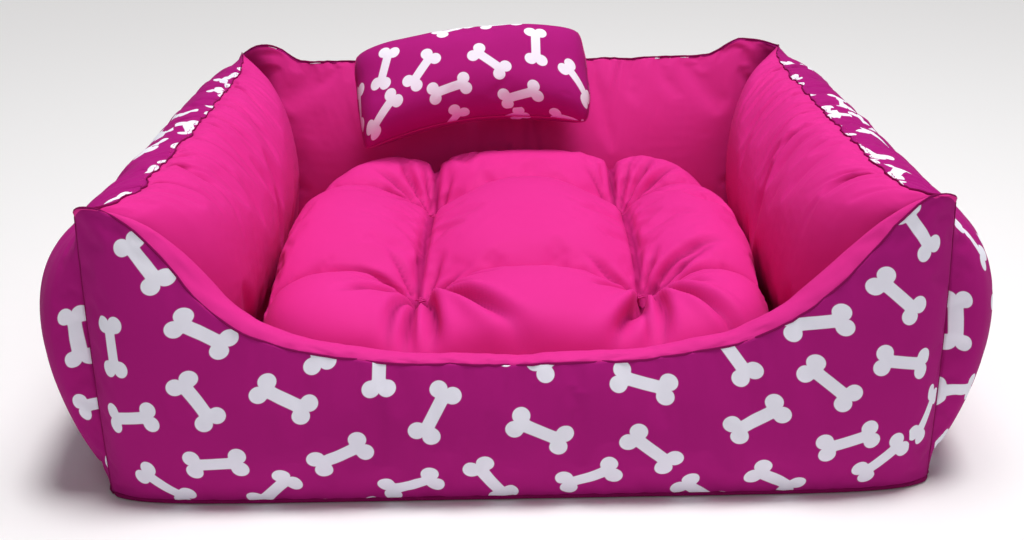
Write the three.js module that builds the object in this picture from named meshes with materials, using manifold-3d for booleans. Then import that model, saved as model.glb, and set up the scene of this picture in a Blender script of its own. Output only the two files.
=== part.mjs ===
// Pet cushion bed: four fibre-filled walls with printed outer panels and plain inner panels,
// a thin padded base, a loose tufted seat cushion and a small loose pillow.
// Units are millimetres. +Z is up, +X is right, -Y is the low front edge.
// The origin is the centre of the underside, on the floor.

import * as THREE from 'three';
import { LoftGeometry } from 'three/addons/geometries/LoftGeometry.js';
import { mergeVertices } from 'three/addons/utils/BufferGeometryUtils.js';
import Module from 'manifold-3d';

const wasm = await Module();
wasm.setup();

// ---------------------------------------------------------------- driving dimensions

const CLOTH = 1.5;              // thickness given to every fabric skin
const GAP = 0.4;                // clearance kept between touching pieces
const SKIN = GAP + CLOTH;       // how far a skin's outer face stands off its filling

const BASE_HALF = 305;          // half the side of the square bottom panel
const BASE_CORNER = 25;         // its corner radius
const BASE_THICK = 2;
const PAD = { left: -217, right: 217, front: -252, back: 217, corner: 40, thick: 8.5 };

const CORNER_SEAM = 298;        // outward distance of the four vertical corner seams
const WALL_FOOT = 6;            // height where the wall filling starts
const SEAM_WIDTH = 5;           // width of the filling's edge under a top seam
const SEAM_HEIGHT = 5;          // height of the sewn ridge along a top seam
const MITRE = 3.4;              // each wall stops this far short of the diagonal plane
const OUTER_STEPS = 6;          // facets up the outer face of a wall
const INNER_STEPS = 7;          // facets down the inner face
const BULGE_POWER = 6;          // how late a wall's belly dies away towards the corners

const SEAT = {
  halfX: 213, halfY: 231, centreY: -18, seamZ: 62, crown: 62, belly: 46.4,
  round: 0.13, flat: 4, columns: 16, rows: 16,
};
const TUFT = { centreX: 12.5, centreY: -6, stepX: 93, stepY: 112, radius: 24, topDepth: 42, bottomDepth: 4 };
const TUFT_HOLE = 1.8;          // radius of the hole that a tuft thread passes through
const TUFT_THREAD = 1.1;        // radius of the thread
const TUFT_LOOP = 3.5;          // radius of the flat stitch at each end of a thread
const TUFT_STITCH = 0.8;        // its thickness
const RIM_HALF = 0.3;           // half the thickness of a cushion filling at its rim
const SEAM_SPLIT = 0.8;         // half the gap where two cushion covers meet

// The pillow's centre, its lean back about X and its roll about its own thickness.
const PILLOW = {
  x: -40, y: 204, z: 185, lean: 50, roll: 6,
  halfX: 121, halfY: 69, crown: 42, belly: 42, round: 0.1, flat: 4, columns: 10, rows: 8,
};

const PRINT = { color: 0xb0267a, roughness: 0.85, metalness: 0 };
const PLAIN = { color: 0xe93a96, roughness: 0.8, metalness: 0 };
const PIPING = { color: 0x96205f, roughness: 0.85, metalness: 0 };
const UNDERSIDE = { color: 0x3a2230, roughness: 0.9, metalness: 0 };
const FIBRE = { color: 0xf2f0ec, roughness: 1, metalness: 0 };
const FOAM = { color: 0xe8e2c8, roughness: 1, metalness: 0 };

const bed = new THREE.Group();

function place(name, geometry, look, parent = bed) {
  const mesh = new THREE.Mesh(geometry, new THREE.MeshStandardMaterial(look));
  mesh.name = name;
  parent.add(mesh);
  return mesh;
}

// ---------------------------------------------------------------- shape helpers

function mix(a, b, weight) {
  return a + (b - a) * weight;
}

function smooth(value) {
  const s = Math.min(Math.max(value, 0), 1);
  return s * s * (3 - 2 * s);
}

// A closed solid between two grids of points. Rows run along the piece and columns run
// anticlockwise round it, so the first grid is the face that points out. `crossed` splits
// the second grid's squares along their other diagonal.
function sheet(outerRows, innerRows, crossed = false) {
  const rows = outerRows.length;
  const cols = outerRows[0].length;
  const positions = [];
  const index = [];
  for (const p of [...outerRows.flat(), ...innerRows.flat()]) {
    positions.push(p.x, p.y, p.z);
  }
  const out = (i, j) => i * cols + j;
  const inn = (i, j) => rows * cols + i * cols + j;
  for (let i = 0; i < rows - 1; i++) {
    for (let j = 0; j < cols - 1; j++) {
      index.push(out(i, j), out(i, j + 1), out(i + 1, j));
      index.push(out(i, j + 1), out(i + 1, j + 1), out(i + 1, j));
      if (crossed) {
        index.push(inn(i, j), inn(i + 1, j), inn(i + 1, j + 1));
        index.push(inn(i, j), inn(i + 1, j + 1), inn(i, j + 1));
      } else {
        index.push(inn(i, j), inn(i + 1, j), inn(i, j + 1));
        index.push(inn(i, j + 1), inn(i + 1, j), inn(i + 1, j + 1));
      }
    }
  }
  const edge = [];
  for (let i = 0; i < rows - 1; i++) {
    edge.push([i, 0]);
  }
  for (let j = 0; j < cols - 1; j++) {
    edge.push([rows - 1, j]);
  }
  for (let i = rows - 1; i > 0; i--) {
    edge.push([i, cols - 1]);
  }
  for (let j = cols - 1; j > 0; j--) {
    edge.push([0, j]);
  }
  for (let k = 0; k < edge.length; k++) {
    const [i, j] = edge[k];
    const [p, q] = edge[(k + 1) % edge.length];
    index.push(out(i, j), out(p, q), inn(i, j));
    index.push(out(p, q), inn(p, q), inn(i, j));
  }
  const geometry = new THREE.BufferGeometry();
  geometry.setAttribute('position', new THREE.Float32BufferAttribute(positions, 3));
  geometry.setIndex(index);
  geometry.computeVertexNormals();
  return geometry;
}

function toManifold(geometry) {
  const bare = geometry.clone();
  bare.deleteAttribute('normal');
  bare.deleteAttribute('uv');
  const merged = mergeVertices(bare, 1e-3);
  const vertProperties = new Float32Array(merged.attributes.position.array);
  const triVerts = new Uint32Array(merged.index.array);
  return new wasm.Manifold(new wasm.Mesh({ numProp: 3, vertProperties, triVerts }));
}

// Cuts every cutter out of a piece.
function cut(geometry, cutters) {
  let solid = toManifold(geometry);
  for (const cutter of cutters) {
    solid = solid.subtract(toManifold(cutter));
  }
  const mesh = solid.getMesh();
  const result = new THREE.BufferGeometry();
  result.setAttribute('position', new THREE.BufferAttribute(mesh.vertProperties, 3));
  result.setIndex(new THREE.BufferAttribute(mesh.triVerts, 1));
  result.computeVertexNormals();
  return result;
}

function roundedRectangle(left, right, front, back, radius) {
  const shape = new THREE.Shape();
  shape.moveTo(left + radius, front);
  shape.lineTo(right - radius, front);
  shape.absarc(right - radius, front + radius, radius, -Math.PI / 2, 0);
  shape.lineTo(right, back - radius);
  shape.absarc(right - radius, back - radius, radius, 0, Math.PI / 2);
  shape.lineTo(left + radius, back);
  shape.absarc(left + radius, back - radius, radius, Math.PI / 2, Math.PI);
  shape.lineTo(left, front + radius);
  shape.absarc(left + radius, front + radius, radius, Math.PI, 3 * Math.PI / 2);
  return shape;
}

function plate(shape, depth, bottom) {
  const geometry = new THREE.ExtrudeGeometry(shape, { depth, bevelEnabled: false, curveSegments: 4 });
  geometry.translate(0, 0, bottom);
  return geometry;
}

// ---------------------------------------------------------------- walls

// A wall's section, as control points [outward, up] of the curve up its outer face and the
// curve down its inner face. `mid` is the middle of the wall and CORNER is where it meets
// the diagonal plane of a corner. The seam point sits between the two curves.
const CORNER = {
  outer: [[298, WALL_FOOT], [302, 70], [302, 140]],
  inner: [[266, 172], [241, 100], [235, WALL_FOOT]],
};

const SIDE_SECTION = {
  seam: 284,
  outer: [[322, WALL_FOOT], [385, 50], [378, 165]],
  inner: [[248, 178], [206, 100], [232, WALL_FOOT]],
};

const WALLS = {
  back: {
    turn: 0,
    stations: 13,
    seam: 288,
    outer: [[320, WALL_FOOT], [375, 50], [368, 158]],
    inner: [[256, 168], [212, 110], [228, WALL_FOOT]],
    seamHeight: (x) => 193 + 10 * smooth((Math.abs(x) - 200) / 90),
  },
  left: { turn: Math.PI / 2, stations: 13, ...SIDE_SECTION, seamHeight: () => 200 },
  front: {
    turn: Math.PI,
    stations: 23,
    seam: 309,
    outer: [[315, WALL_FOOT], [336, 35], [334, 85]],
    inner: [[286, 98], [256, 60], [264, WALL_FOOT]],
    // the front edge dips to let the pet step in
    dips: true,
    seamHeight: (x) => 104 + 112 * smooth((Math.abs(x) - 75) / 218) ** 2,
  },
  right: { turn: -Math.PI / 2, stations: 13, ...SIDE_SECTION, seamHeight: () => 200 },
};

function blend(points, cornerPoints, weight) {
  return points.map(([n, z], k) => [
    mix(n, cornerPoints[k][0], weight),
    mix(z, cornerPoints[k][1], weight),
  ]);
}

// Points along one face of a wall's section, `offset` clear of the filling. `facing` is the
// way that the face looks at its seam end: 1 is outward and -1 is into the bed.
function faceOfWall(controls, steps, seamStep, facing, offset) {
  const curve = new THREE.CubicBezierCurve(...controls.map(([n, z]) => new THREE.Vector2(n, z)));
  const points = [];
  for (let k = 0; k <= steps; k++) {
    const tangent = curve.getTangent(k / steps);
    const normal = new THREE.Vector2(tangent.y, -tangent.x);
    if (k === seamStep) {
      normal.set(facing, 0);
    }
    points.push(curve.getPoint(k / steps).addScaledVector(normal, offset));
  }
  return points;
}

// The outer and inner faces of a wall at a station from -1 to 1 along it, and its seam.
function wallSection(wall, station, offset) {
  const weight = Math.abs(station) ** BULGE_POWER;
  const seam = mix(wall.seam, CORNER_SEAM - SEAM_WIDTH / 2, weight);
  const top = wall.seamHeight(station * seam);
  const outer = blend(wall.outer, CORNER.outer, weight);
  const inner = blend(wall.inner, CORNER.inner, weight);
  if (wall.dips) {
    // the controls next to the seam rise and fall with it
    const lift = top / wall.seamHeight(0);
    outer[2][1] = mix(outer[2][1], wall.outer[2][1] * lift, 1 - weight);
    inner[0][1] = mix(inner[0][1], wall.inner[0][1] * lift, 1 - weight);
  }
  outer.push([seam + SEAM_WIDTH / 2, top]);
  inner.unshift([seam - SEAM_WIDTH / 2, top]);
  return {
    outer: faceOfWall(outer, OUTER_STEPS, OUTER_STEPS, 1, offset),
    inner: faceOfWall(inner, INNER_STEPS, 0, -1, offset),
    seam,
    top,
  };
}

// A point of a wall's section, set at its station so that the wall's ends lie in the
// diagonal planes of the corners.
function mitred(station, outward, up) {
  return new THREE.Vector3(station * (outward - MITRE), outward, up);
}

// Stations from -1 to 1 along a wall, a little closer together near its ends.
function stationsOf(wall) {
  const list = [];
  for (let i = 0; i < wall.stations; i++) {
    const even = 2 * i / (wall.stations - 1) - 1;
    list.push(mix(even, Math.sin(even * Math.PI / 2), 0.35));
  }
  return list;
}

function wallRows(wall, offset, part) {
  return stationsOf(wall).map((station) =>
    wallSection(wall, station, offset)[part].map((p) => mitred(station, p.x, p.y)));
}

function wallFill(wall) {
  const rings = stationsOf(wall).map((station) => {
    const section = wallSection(wall, station, 0);
    return [...section.outer, ...section.inner].map((p) => mitred(station, p.x, p.y));
  });
  return new LoftGeometry(rings, { capStart: true, capEnd: true });
}

// The sewn ridge where the outer and inner panels meet: a low rounded bead.
function topSeam(wall) {
  const half = SEAM_WIDTH / 2 + SKIN;
  const bead = [
    [half, GAP],
    [half * 0.7, SEAM_HEIGHT * 0.8],
    [0, SEAM_HEIGHT],
    [-half * 0.7, SEAM_HEIGHT * 0.8],
    [-half, GAP],
  ];
  const rings = stationsOf(wall).map((station) => {
    const { seam, top } = wallSection(wall, station, 0);
    return bead.map(([n, z]) => mitred(station, seam + n, top + z));
  });
  return new LoftGeometry(rings, { capStart: true, capEnd: true });
}

for (const [side, wall] of Object.entries(WALLS)) {
  const frame = new THREE.Group();
  frame.rotation.z = wall.turn;
  bed.add(frame);
  place(`${side}_fill`, wallFill(wall), FIBRE, frame);
  for (const [face, look] of [['outer', PRINT], ['inner', PLAIN]]) {
    const panel = sheet(wallRows(wall, SKIN, face), wallRows(wall, GAP, face));
    place(`${side}_${face}_panel`, panel, look, frame);
  }
  place(`${side}_top_seam`, topSeam(wall), PIPING, frame);
}

// ---------------------------------------------------------------- corner webs

// At each corner the panels are sewn flat together in the diagonal plane. The flat web has
// no filling and rises to a soft peak above the walls.
const WEB_THICK = 3.2;
const WEB_INNER = 238;          // outward distances of the web's inner and outer edges
const WEB_OUTER = 299;
const WEBS = {
  back_right: { turn: 45, peak: 213 },
  back_left: { turn: 135, peak: 213 },
  front_left: { turn: -135, peak: 229 },
  front_right: { turn: -45, peak: 229 },
};

for (const [corner, { turn, peak }] of Object.entries(WEBS)) {
  const shape = new THREE.Shape();
  shape.moveTo(WEB_INNER * Math.SQRT2, WALL_FOOT);
  shape.lineTo(WEB_OUTER * Math.SQRT2, WALL_FOOT);
  shape.quadraticCurveTo((WEB_OUTER + 5) * Math.SQRT2, peak / 2, (WEB_OUTER + 1) * Math.SQRT2, peak);
  shape.lineTo((WEB_OUTER - 7) * Math.SQRT2, peak);
  shape.quadraticCurveTo((WEB_INNER + 32) * Math.SQRT2, 185, (WEB_INNER + 10) * Math.SQRT2, 120);
  shape.quadraticCurveTo(WEB_INNER * Math.SQRT2, 70, WEB_INNER * Math.SQRT2, WALL_FOOT);
  const geometry = plate(shape, WEB_THICK, -WEB_THICK / 2);
  geometry.rotateX(Math.PI / 2);
  const web = place(`corner_web_${corner}`, geometry, PRINT);
  web.rotation.z = THREE.MathUtils.degToRad(turn);
}

// ---------------------------------------------------------------- base

const bottomShape = roundedRectangle(-BASE_HALF, BASE_HALF, -BASE_HALF, BASE_HALF, BASE_CORNER);
place('base_bottom_panel', plate(bottomShape, BASE_THICK, 0), UNDERSIDE);

const padShape = roundedRectangle(PAD.left, PAD.right, PAD.front, PAD.back, PAD.corner);
const padBottom = BASE_THICK + GAP;
const liningBottom = padBottom + PAD.thick + GAP;
place('base_pad', plate(padShape, PAD.thick, padBottom), FOAM);
place('base_lining', plate(padShape, CLOTH, liningBottom), PLAIN);

// ---------------------------------------------------------------- cushions

// One face of a cushion as a grid of points. `side` is 1 for the top and -1 for the bottom,
// `offset` is how far the face stands off the filling, and `split` lifts its rim off the
// seam plane.
function cushionRows(cushion, side, offset, split) {
  const rows = [];
  for (let i = 0; i <= cushion.rows; i++) {
    const b = Math.sin((2 * i / cushion.rows - 1) * Math.PI / 2);
    const row = [];
    for (let j = 0; j <= cushion.columns; j++) {
      const a = Math.sin((2 * j / cushion.columns - 1) * Math.PI / 2) * side;
      const x = (cushion.halfX + offset) * a * Math.sqrt(1 - cushion.round * b * b);
      const y = (cushion.halfY + offset) * b * Math.sqrt(1 - cushion.round * a * a);
      const fullness = Math.sqrt((1 - a ** cushion.flat) * (1 - b ** cushion.flat));
      const onRim = i === 0 || i === cushion.rows || j === 0 || j === cushion.columns;
      const rise = side > 0 ? cushion.crown : cushion.belly;
      const swell = rise * fullness + offset - cushion.pull(x, y + cushion.centreY, side);
      const height = cushion.seamZ + side * (onRim ? split : swell);
      row.push(new THREE.Vector3(x, y + cushion.centreY, height));
    }
    rows.push(row);
  }
  return rows;
}

function cushionFill(cushion) {
  const top = cushionRows(cushion, 1, 0, RIM_HALF);
  const bottom = cushionRows(cushion, -1, 0, RIM_HALF);
  for (const row of bottom) {
    row.reverse();
  }
  return sheet(top, bottom, true);
}

function cushionCover(cushion, side) {
  const outer = cushionRows(cushion, side, SKIN, SEAM_SPLIT);
  const inner = cushionRows(cushion, side, GAP, SEAM_SPLIT);
  return sheet(outer, inner);
}

// The seat cushion is pulled down by four threads, which leave nine puffs.
const tufts = [];
for (const [rowName, rowSign] of [['front', -1], ['back', 1]]) {
  for (const [columnName, columnSign] of [['left', -1], ['right', 1]]) {
    const x = TUFT.centreX + columnSign * TUFT.stepX;
    const y = TUFT.centreY + rowSign * TUFT.stepY;
    tufts.push({ name: `seat_tuft_${rowName}_${columnName}`, x, y });
  }
}

function tuftPull(x, y, side) {
  let total = 0;
  for (const tuft of tufts) {
    const away = Math.hypot(x - tuft.x, y - tuft.y) / TUFT.radius;
    total += Math.exp(-away * away / 2);
  }
  return total * (side > 0 ? TUFT.topDepth : TUFT.bottomDepth);
}

const seatCushion = { ...SEAT, pull: tuftPull };
const seatCoverTop = cushionCover(seatCushion, 1);
const seatCoverBottom = cushionCover(seatCushion, -1);

function tuftHole({ x, y }) {
  const geometry = new THREE.CylinderGeometry(TUFT_HOLE, TUFT_HOLE, 2 * SEAT.seamZ + 200, 8);
  geometry.rotateX(Math.PI / 2);
  geometry.translate(x, y, SEAT.seamZ);
  return geometry;
}

// The height that a tuft's stitch rests at: the furthest that the cover stands out under it.
function coverHeight(geometry, { x, y }, side) {
  const cover = new THREE.Mesh(geometry, new THREE.MeshBasicMaterial({ side: THREE.DoubleSide }));
  const heights = [];
  for (let k = 0; k < 8; k++) {
    const angle = k * Math.PI / 4;
    const px = x + TUFT_LOOP * Math.cos(angle);
    const py = y + TUFT_LOOP * Math.sin(angle);
    const start = new THREE.Vector3(px, py, side * 500);
    const ray = new THREE.Raycaster(start, new THREE.Vector3(0, 0, -side));
    heights.push(side * ray.intersectObject(cover)[0].point.z);
  }
  return side * (Math.max(...heights) + GAP);
}

// A thread through the cushion with a flat stitch at each end.
function tuftThread(tuft) {
  const top = coverHeight(seatCoverTop, tuft, 1);
  const bottom = coverHeight(seatCoverBottom, tuft, -1);
  const profile = [
    [0, bottom - TUFT_STITCH],
    [TUFT_LOOP, bottom - TUFT_STITCH],
    [TUFT_LOOP, bottom],
    [TUFT_THREAD, bottom],
    [TUFT_THREAD, top],
    [TUFT_LOOP, top],
    [TUFT_LOOP, top + TUFT_STITCH],
    [0, top + TUFT_STITCH],
  ].map(([r, z]) => new THREE.Vector2(r, z));
  const geometry = new THREE.LatheGeometry(profile, 8);
  geometry.rotateX(Math.PI / 2);
  geometry.translate(tuft.x, tuft.y, 0);
  return geometry;
}

const holes = tufts.map(tuftHole);
place('seat_fill', cut(cushionFill(seatCushion), holes), FIBRE);
place('seat_cover_top', cut(seatCoverTop, holes), PLAIN);
place('seat_cover_bottom', cut(seatCoverBottom, holes), PLAIN);
for (const tuft of tufts) {
  place(tuft.name, tuftThread(tuft), PIPING);
}

// The small pillow leans back on the rear wall with its lower edge on the seat cushion.
const pillowCushion = { ...PILLOW, seamZ: 0, centreY: 0, pull: () => 0 };
const pillow = new THREE.Group();
pillow.position.set(PILLOW.x, PILLOW.y, PILLOW.z);
pillow.rotation.set(THREE.MathUtils.degToRad(PILLOW.lean), 0, THREE.MathUtils.degToRad(PILLOW.roll));
bed.add(pillow);
place('pillow_fill', cushionFill(pillowCushion), FIBRE, pillow);
place('pillow_cover_front', cushionCover(pillowCushion, 1), PRINT, pillow);
place('pillow_cover_back', cushionCover(pillowCushion, -1), PRINT, pillow);

export default bed;
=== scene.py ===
"""Pet cushion bed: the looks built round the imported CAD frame, in metres.

The bed has four stuffed walls (printed outside, plain inside), a padded base, a loose tufted
seat cushion and a loose pillow. Every soft surface starts as a sewn shape on a regular grid
and is then inflated by a short cloth simulation with its seams held.
"""
import math

import bpy
import numpy as np
from mathutils import Matrix, Vector


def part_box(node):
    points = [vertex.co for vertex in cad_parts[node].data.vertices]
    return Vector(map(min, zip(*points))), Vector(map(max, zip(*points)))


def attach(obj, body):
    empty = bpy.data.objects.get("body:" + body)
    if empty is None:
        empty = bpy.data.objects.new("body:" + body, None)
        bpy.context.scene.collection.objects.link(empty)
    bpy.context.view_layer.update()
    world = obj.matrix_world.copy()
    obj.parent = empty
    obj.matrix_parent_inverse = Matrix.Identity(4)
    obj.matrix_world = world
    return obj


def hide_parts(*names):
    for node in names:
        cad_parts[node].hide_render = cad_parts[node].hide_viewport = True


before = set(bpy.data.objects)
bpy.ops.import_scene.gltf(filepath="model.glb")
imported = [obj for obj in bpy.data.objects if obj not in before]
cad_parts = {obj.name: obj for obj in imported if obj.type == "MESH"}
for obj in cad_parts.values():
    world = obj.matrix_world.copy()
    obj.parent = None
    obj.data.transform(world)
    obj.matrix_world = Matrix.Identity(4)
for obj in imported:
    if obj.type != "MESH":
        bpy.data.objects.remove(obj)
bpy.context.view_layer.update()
CM = 0.01
MM = 0.001

# ------------------------------------------------------------------ camera, lights, floor

CAMERA_PLACE = Vector((-0.0043, -1.1405, 0.4961))
CAMERA_PITCH = math.radians(21.1)
CAMERA_ROLL = math.radians(-0.97)
CAMERA_YAW = math.radians(-0.09)
CAMERA_LENS = 45.69
FLOOR_HALF = 30.0


def add_camera():
    """The camera looks along +Y and down on the bed, from a little over its front edge."""
    data = bpy.data.cameras.new("camera")
    data.lens = CAMERA_LENS
    data.sensor_width = 36
    camera = bpy.data.objects.new("camera", data)
    bpy.context.scene.collection.objects.link(camera)
    turn = Matrix.Rotation(CAMERA_YAW, 4, "Z")
    tilt = Matrix.Rotation(math.pi / 2 - CAMERA_PITCH, 4, "X")
    roll = Matrix.Rotation(CAMERA_ROLL, 4, "Z")
    camera.matrix_world = Matrix.Translation(CAMERA_PLACE) @ turn @ tilt @ roll
    bpy.context.scene.camera = camera


def add_area_light(name, place, target, size, power, colour):
    data = bpy.data.lights.new(name, "AREA")
    data.shape = "DISK"
    data.size = size
    data.energy = power
    data.color = colour
    light = bpy.data.objects.new(name, data)
    light.location = place
    light.rotation_euler = (Vector(target) - Vector(place)).to_track_quat("-Z", "Y").to_euler()
    bpy.context.scene.collection.objects.link(light)


def add_sun(name, towards, spread, power, colour):
    data = bpy.data.lights.new(name, "SUN")
    data.angle = math.radians(spread)
    data.energy = power
    data.color = colour
    light = bpy.data.objects.new(name, data)
    light.rotation_euler = Vector(towards).to_track_quat("Z", "Y").to_euler()
    bpy.context.scene.collection.objects.link(light)


def add_lights():
    world = bpy.data.worlds.new("studio")
    world.use_nodes = True
    backdrop = world.node_tree.nodes["Background"]
    backdrop.inputs["Color"].default_value = (1.0, 0.985, 0.99, 1)
    backdrop.inputs["Strength"].default_value = 0.165
    bpy.context.scene.world = world
    add_sun("key", (0.14, 0.05, 1.0), 16, 1.75, (1.0, 0.985, 0.98))
    add_area_light("top", (0.2, -0.1, 2.0), (0, 0.0, 0.1), 1.0, 13, (1.0, 0.99, 1.0))
    add_area_light("back_fill", (0.05, -0.25, 0.85), (-0.02, 0.27, 0.2), 0.5, 1.1, (1.0, 0.98, 1.0))
    add_area_light("front_fill", (0.6, -2.2, 1.0), (0, -0.2, 0.1), 1.6, 4.5, (0.97, 0.97, 1.0))


def add_floor():
    size = FLOOR_HALF
    mesh = bpy.data.meshes.new("floor")
    corners = [(-size, -size, 0), (size, -size, 0), (size, size, 0), (-size, size, 0)]
    mesh.from_pydata(corners, [], [(0, 1, 2, 3)])
    floor = bpy.data.objects.new("floor", mesh)
    bpy.context.scene.collection.objects.link(floor)
    material = bpy.data.materials.new("floor")
    material.use_nodes = True
    shader = material.node_tree.nodes["Principled BSDF"]
    shader.inputs["Base Color"].default_value = (0.95, 0.95, 0.95, 1)
    shader.inputs["Roughness"].default_value = 0.7
    mesh.materials.append(material)


# ------------------------------------------------------------------ materials

HOT_PINK = (0.785, 0.035, 0.31)
HOT_PINK_DEEP = (0.71, 0.026, 0.255)
RASPBERRY = (0.46, 0.013, 0.22)
RASPBERRY_DEEP = (0.375, 0.010, 0.172)
BONE_WHITE = (0.93, 0.93, 1.0)
BONE_WHITE_SHADE = (0.86, 0.84, 0.97)

# The print repeats every PRINT_TILE (centimetres): each bone is (across, up, degrees).
PRINT_TILE = (63.0, 36.0)
PRINT_BONES = [
    (-25.1, 18.8, -54), (-27.7, 12.6, -86), (-21.4, 13.7, -31), (-21.7, 8.8, -56),
    (-26.7, 7.3, 9), (-20.8, 3.9, 4), (-15.9, 8.8, -30), (-12.2, 4.4, 27),
    (-5.7, 7.5, 64), (-9.6, 11.0, -88), (-14.2, 12.8, -70), (-2.0, 12.6, -30),
    (-8.4, 16.6, 14), (1.4, 6.0, -26), (2.8, 11.6, 40), (8.6, 9.4, -17),
    (9.0, 4.4, -41), (16.1, 6.7, 29), (21.0, 9.3, -42), (20.4, 13.7, 8),
    (25.7, 15.5, -44), (26.2, 10.6, -11), (22.5, 4.8, 16), (14.8, 11.4, -60),
    (27.3, 20.0, -58), (22.0, 18.6, 40), (16.2, 16.6, -20), (9.4, 15.6, 66),
    (2.6, 17.2, -44), (-19.6, 18.6, 32), (-14.0, 18.2, -10), (3.2, 20.6, 30),
    (-25.2, 1.7, -42), (-17.3, 1.2, 43), (-12.3, -0.9, 2), (-7.6, 1.6, 18), (-2.0, 1.8, -60),
    (4.8, 2.1, 20), (12.9, 0.2, -38), (17.9, 1.5, -32), (25.4, 3.0, 41), (29.2, 5.9, 58),
    (-8.9, 29.2, 68), (-5.1, 27.7, 48), (1.9, 27.5, -42), (6.9, 29.3, 84), (-1.4, 33.0, 30),
    (-9.6, 24.7, 36), (-2.5, 25.1, 9), (4.7, 23.8, 17), (11.0, 26.2, -48), (-2.6, 21.0, 60),
    (9.8, 21.6, 5), (3.6, 33.2, 10), (-13.0, 27.0, 78),
    (15.6, 30.6, 20), (-16.6, 24.6, -30), (19.4, 26.4, -75), (24.6, 30.0, 12), (-21.8, 25.4, 20),
    (-26.6, 30.0, -64), (27.8, 25.4, 50), (-18.6, 32.0, 75), (20.6, 33.2, -20), (15.6, 25.8, -12),
]
BONE_REACH = 1.64 * CM
BONE_KNOB_OFF = 0.54 * CM
BONE_KNOB = 0.62 * CM
BONE_SHAFT = 0.46 * CM
BONE_ROUNDING = 1.6 * MM
BONE_EDGE = 0.25 * MM
WEAVE_PITCH = 0.9 * MM


class Nodes:
    """Short ways to add and join shader nodes."""

    def __init__(self, material):
        material.use_nodes = True
        self.tree = material.node_tree
        self.shader = self.tree.nodes["Principled BSDF"]

    def add(self, kind, **settings):
        node = self.tree.nodes.new(kind)
        for key, value in settings.items():
            setattr(node, key, value)
        return node

    def wire(self, source, target):
        if hasattr(source, "outputs"):
            source = source.outputs[0]
        if isinstance(source, (int, float, tuple, list)):
            target.default_value = source
        else:
            self.tree.links.new(source, target)

    def maths(self, operation, *values):
        node = self.add("ShaderNodeMath", operation=operation)
        for k, value in enumerate(values):
            self.wire(value, node.inputs[k])
        return node.outputs[0]

    def vector(self, operation, *values, out="Vector"):
        node = self.add("ShaderNodeVectorMath", operation=operation)
        for k, value in enumerate(values):
            self.wire(value, node.inputs[k])
        return node.outputs[out]

    def blend_colour(self, weight, first, second):
        node = self.add("ShaderNodeMix", data_type="RGBA")
        self.wire(weight, node.inputs["Factor"])
        for value, socket in ((first, node.inputs[6]), (second, node.inputs[7])):
            self.wire((*value, 1) if isinstance(value, tuple) else value, socket)
        return node.outputs[2]

    def blend_vector(self, weight, first, second):
        node = self.add("ShaderNodeMix", data_type="VECTOR")
        self.wire(weight, node.inputs["Factor"])
        self.wire(first, node.inputs[4])
        self.wire(second, node.inputs[5])
        return node.outputs[1]

    def noise(self, place, scale, detail=2.0, roughness=0.5):
        node = self.add("ShaderNodeTexNoise")
        node.inputs["Scale"].default_value = scale
        node.inputs["Detail"].default_value = detail
        node.inputs["Roughness"].default_value = roughness
        self.wire(place, node.inputs["Vector"])
        return node.outputs["Fac"]

    def cloth_place(self):
        """Metres across the flat cloth, from the piece's own map."""
        return self.add("ShaderNodeUVMap", uv_map="cloth").outputs[0]

    def object_place(self):
        return self.add("ShaderNodeTexCoord").outputs["Object"]

    def weave(self, place, pitch):
        """Threads over and under: 0 between threads and 1 on their crowns."""
        parts = self.add("ShaderNodeSeparateXYZ")
        self.wire(place, parts.inputs[0])
        turns = 2 * math.pi / pitch
        across = self.maths("SINE", self.maths("MULTIPLY", parts.outputs[0], turns))
        along = self.maths("SINE", self.maths("MULTIPLY", parts.outputs[1], turns))
        return self.maths("MULTIPLY_ADD", self.maths("MULTIPLY", across, along), 0.5, 0.5)

    def bump(self, height, distance, strength=1.0, base=None):
        node = self.add("ShaderNodeBump")
        node.inputs["Strength"].default_value = strength
        node.inputs["Distance"].default_value = distance
        self.wire(height, node.inputs["Height"])
        if base is not None:
            self.wire(base, node.inputs["Normal"])
        return node.outputs[0]

    def finish_cloth(self, colour, place, roughness, sheen, sheen_tint):
        """Colour, soft crumple, weave and nap shared by every cloth."""
        crumple = self.noise(self.object_place(), 26.0, 3.0, 0.55)
        slub = self.noise(self.vector("MULTIPLY", place, (1.0, 4.0, 1.0)), 700.0, 2.0)
        threads = self.maths("ADD", self.weave(place, WEAVE_PITCH), self.maths("MULTIPLY", slub, 0.8))
        soft = self.bump(crumple, 1.6 * MM, 0.35)
        normal = self.bump(threads, 0.12 * MM, 0.35, soft)
        self.wire(colour, self.shader.inputs["Base Color"])
        self.wire(normal, self.shader.inputs["Normal"])
        self.shader.inputs["Roughness"].default_value = roughness
        self.shader.inputs["Specular IOR Level"].default_value = 0.04
        self.shader.inputs["Sheen Weight"].default_value = sheen
        self.shader.inputs["Sheen Roughness"].default_value = 0.45
        self.shader.inputs["Sheen Tint"].default_value = (*sheen_tint, 1)


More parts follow.
